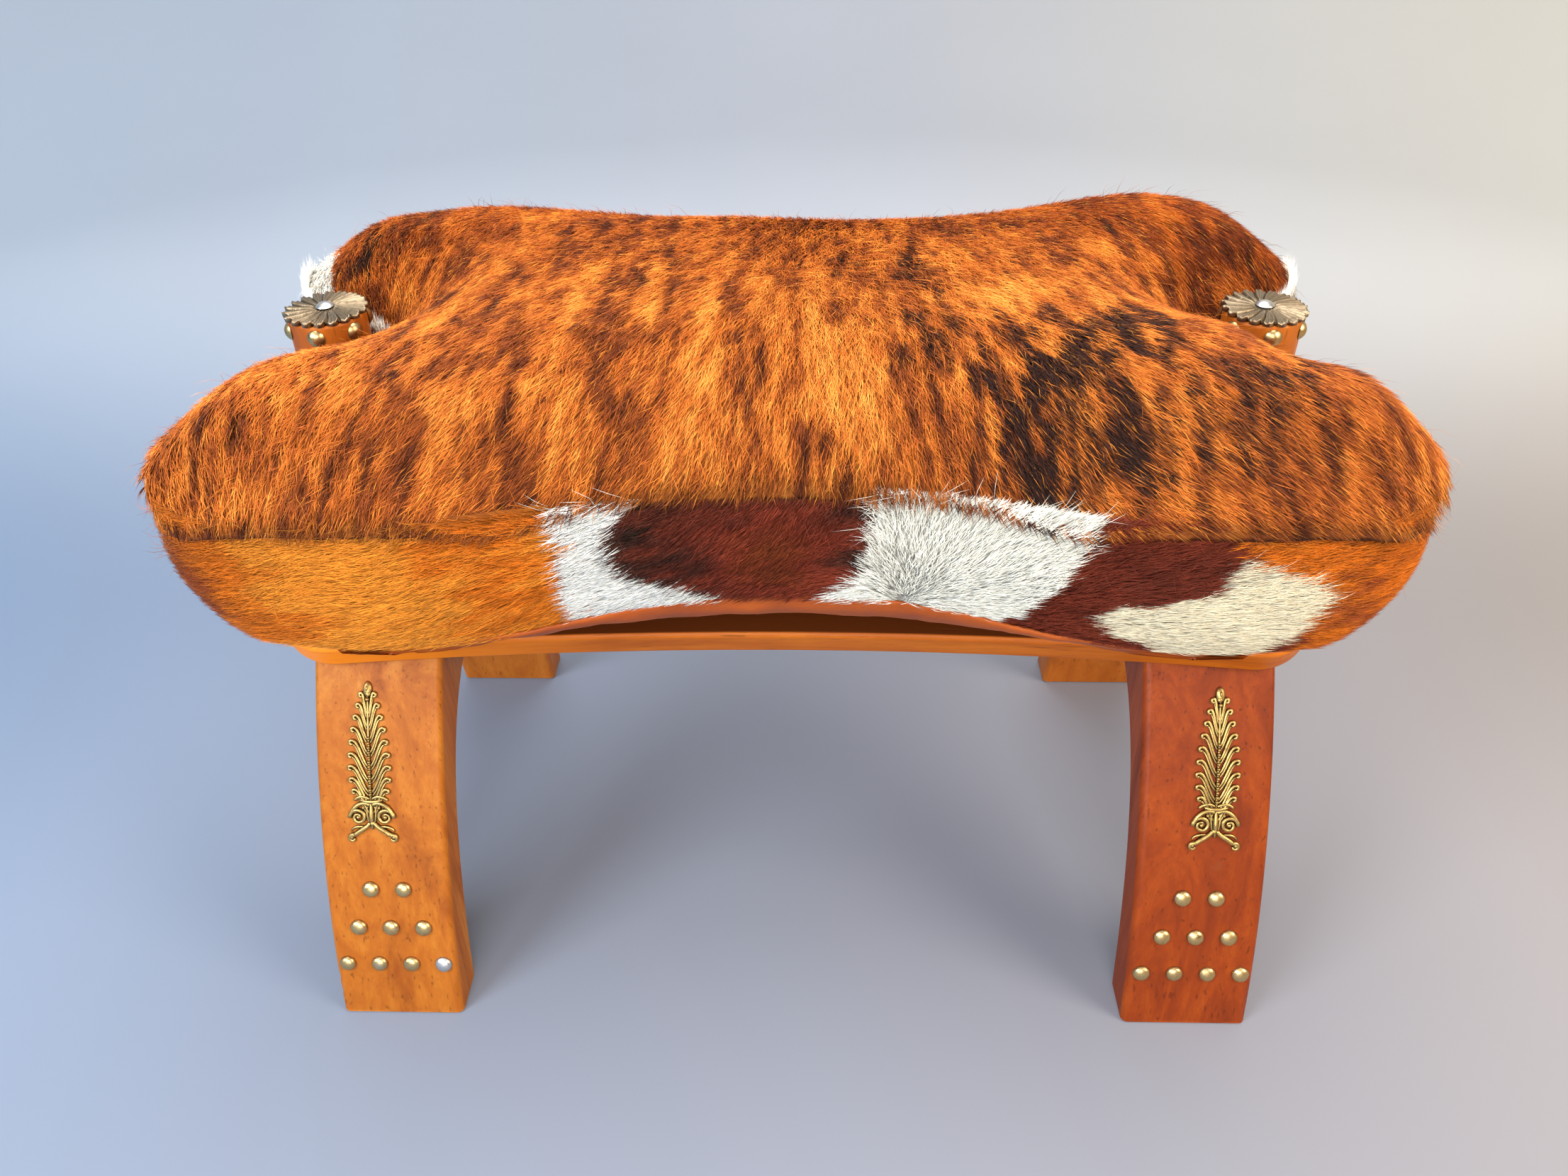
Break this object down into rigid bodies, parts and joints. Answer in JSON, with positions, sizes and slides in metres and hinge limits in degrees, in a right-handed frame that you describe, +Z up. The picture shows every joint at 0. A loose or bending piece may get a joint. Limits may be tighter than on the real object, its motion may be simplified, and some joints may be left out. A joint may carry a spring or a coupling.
{
  "type": "footstool",
  "caption": "Camel-saddle footstool: bowed wooden legs, sloping seat boards, brass-capped pommels and a loose lobed hair-on-hide cushion.",
  "frame": {"origin": "centre of the stool's footprint, on the floor", "axes": "+Z up, +X to the right along the seat's length, -Y towards the front"},
  "size_m": [0.6112, 0.348, 0.4116],
  "materials": {
    "leg_wood": "satin oiled",
    "board_wood": "satin oiled",
    "pommel_wood": "satin oiled",
    "dowel_wood": "raw",
    "screw_steel": "zinc plated",
    "tack_brass": "worn polish",
    "palmette_brass": "antique",
    "pin_brass": "antique",
    "cap_brass": "dark antique",
    "nail_nickel": "worn nickel",
    "top_hide": "brindle hair on hide",
    "band_hide": "pied hair on hide",
    "base_leather": "smooth leather",
    "filling": "loose stuffing"
  },
  "bodies": {
    "frame": {"leg_front_left": "leg_wood", "leg_front_right": "leg_wood", "leg_rear_left": "leg_wood", "leg_rear_right": "leg_wood", "seat_board_front": "board_wood", "seat_board_rear": "board_wood", "board_screws_front": "screw_steel", "board_screws_rear": "screw_steel", "leg_dowels_left": "dowel_wood", "leg_dowels_right": "dowel_wood", "leg_tacks_front": "tack_brass", "leg_tacks_rear": "tack_brass", "palmettes_front": "palmette_brass", "palmettes_rear": "palmette_brass", "palmette_pins": "pin_brass", "pommel_left": "pommel_wood", "pommel_right": "pommel_wood", "pommel_cap_left": "cap_brass", "pommel_cap_right": "cap_brass", "pommel_cap_nail_left": "nail_nickel", "pommel_cap_nail_right": "nail_nickel", "pommel_tacks_left": "tack_brass", "pommel_tacks_right": "tack_brass"},
    "cushion": {"cushion_top_hide": "top_hide", "cushion_band_front_left": "band_hide", "cushion_band_main": "band_hide", "cushion_base_leather": "base_leather", "cushion_filling": "filling"}
  },
  "joints": [
    {"name": "cushion_lift", "type": "slide", "parent": "frame", "child": "cushion", "axis": [0, 0, 1], "range_m": [0, 0.2]}
  ]
}
